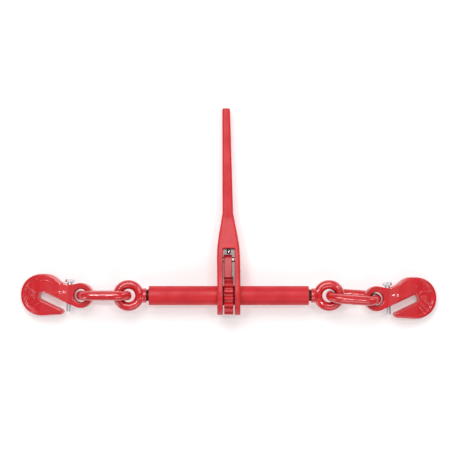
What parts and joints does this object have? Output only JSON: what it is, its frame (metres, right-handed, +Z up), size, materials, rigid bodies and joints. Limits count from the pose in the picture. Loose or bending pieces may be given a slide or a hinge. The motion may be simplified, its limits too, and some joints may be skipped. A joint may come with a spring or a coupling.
{
  "type": "ratchet load binder",
  "caption": "Ratchet load binder for tie-down chain: a geared barrel and lever draw in two eye bolts, each with a chain link and a grab hook with a lock bolt.",
  "frame": {"origin": "on the barrel axis, in the middle of the ratchet gear", "axes": "+X along the barrel to the right-hand hook, +Y towards the grip end of the lever, +Z up from the ground it lies on"},
  "size_m": [0.6631, 0.3354, 0.0625],
  "materials": {
    "red_paint": "glossy red paint over forged steel",
    "pin_steel": "ground bright steel",
    "spring_steel": "oiled spring steel",
    "plain_steel": "plain machined steel",
    "zinc_plate": "bright zinc plate"
  },
  "bodies": {
    "barrel_group": {"barrel": "red_paint", "ratchet_gear": "red_paint", "gear_key": "plain_steel"},
    "lever": {"handle": "red_paint", "pawl_pin": "pin_steel", "detent_spring": "spring_steel"},
    "pawl": {"pawl": "red_paint"},
    "plunger": {"detent_plunger": "pin_steel"},
    "left_stop": {"left_stop_washer": "plain_steel"},
    "left_bolt": {"left_eye_bolt": "red_paint", "left_stop_clip": "spring_steel"},
    "left_link": {"left_link": "red_paint"},
    "left_hook_group": {"left_hook": "red_paint"},
    "left_lock": {"left_lock_bolt": "zinc_plate"},
    "right_stop": {"right_stop_washer": "plain_steel"},
    "right_bolt": {"right_eye_bolt": "red_paint", "right_stop_clip": "spring_steel"},
    "right_link": {"right_link": "red_paint"},
    "right_hook_group": {"right_hook": "red_paint"},
    "right_lock": {"right_lock_bolt": "zinc_plate"}
  },
  "joints": [
    {"name": "lever_swing", "type": "hinge", "parent": "barrel_group", "child": "lever", "pos_m": [0, 0, 0], "axis": [1, 0, 0], "continuous": true},
    {"name": "pawl_rock", "type": "hinge", "parent": "lever", "child": "pawl", "pos_m": [0, 0.05687, -0.00386], "axis": [1, 0, 0], "range_deg": [-10, 10]},
    {"name": "detent_press", "type": "slide", "parent": "lever", "child": "plunger", "axis": [0, 0.9977, -0.0678], "range_m": [0, 0.003], "stiffness_N_per_m": 600, "springref_m": -0.004, "deforming": ["detent_spring"]},
    {"name": "left_screw_travel", "type": "slide", "parent": "barrel_group", "child": "left_stop", "axis": [-1, 0, 0], "range_m": [0, 0.075]},
    {"name": "left_screw_turn", "type": "hinge", "parent": "left_stop", "child": "left_bolt", "pos_m": [-0.1592, 0, 0], "axis": [1, 0, 0], "range_deg": [0, 5400]},
    {"name": "left_link_swing", "type": "hinge", "parent": "left_bolt", "child": "left_link", "pos_m": [-0.17949, 0, -0.00022], "axis": [0, -1, 0], "range_deg": [-80, 80]},
    {"name": "left_hook_swing", "type": "hinge", "parent": "left_link", "child": "left_hook_group", "pos_m": [-0.2346, 0, -0.00591], "axis": [-0.1945, 0, 0.9809], "range_deg": [-75, 75]},
    {"name": "left_lock_bolt_pull", "type": "slide", "parent": "left_hook_group", "child": "left_lock", "axis": [0.0513, 0.9986, 0.0102], "range_m": [-0.0018, 0.022]},
    {"name": "right_screw_travel", "type": "slide", "parent": "barrel_group", "child": "right_stop", "axis": [1, 0, 0], "range_m": [0, 0.075]},
    {"name": "right_screw_turn", "type": "hinge", "parent": "right_stop", "child": "right_bolt", "pos_m": [0.1592, 0, 0], "axis": [1, 0, 0], "range_deg": [0, 5400]},
    {"name": "right_link_swing", "type": "hinge", "parent": "right_bolt", "child": "right_link", "pos_m": [0.17944, -0.00128, -0.00024], "axis": [0.0882, 0.9706, 0.224], "range_deg": [-80, 80]},
    {"name": "right_hook_swing", "type": "hinge", "parent": "right_link", "child": "right_hook_group", "pos_m": [0.23418, -0.00515, -0.0062], "axis": [0.1908, 0, 0.9816], "range_deg": [-75, 75]},
    {"name": "right_lock_bolt_pull", "type": "slide", "parent": "right_hook_group", "child": "right_lock", "axis": [-0.0514, 0.9986, 0.01], "range_m": [-0.0018, 0.022]}
  ],
  "couplings": [
    {"joint": "left_screw_travel", "follows": "left_screw_turn", "m_per_rad": 0.00079577},
    {"joint": "right_screw_travel", "follows": "left_screw_turn", "m_per_rad": 0.00079577},
    {"joint": "right_screw_turn", "follows": "left_screw_turn", "ratio": 1}
  ]
}
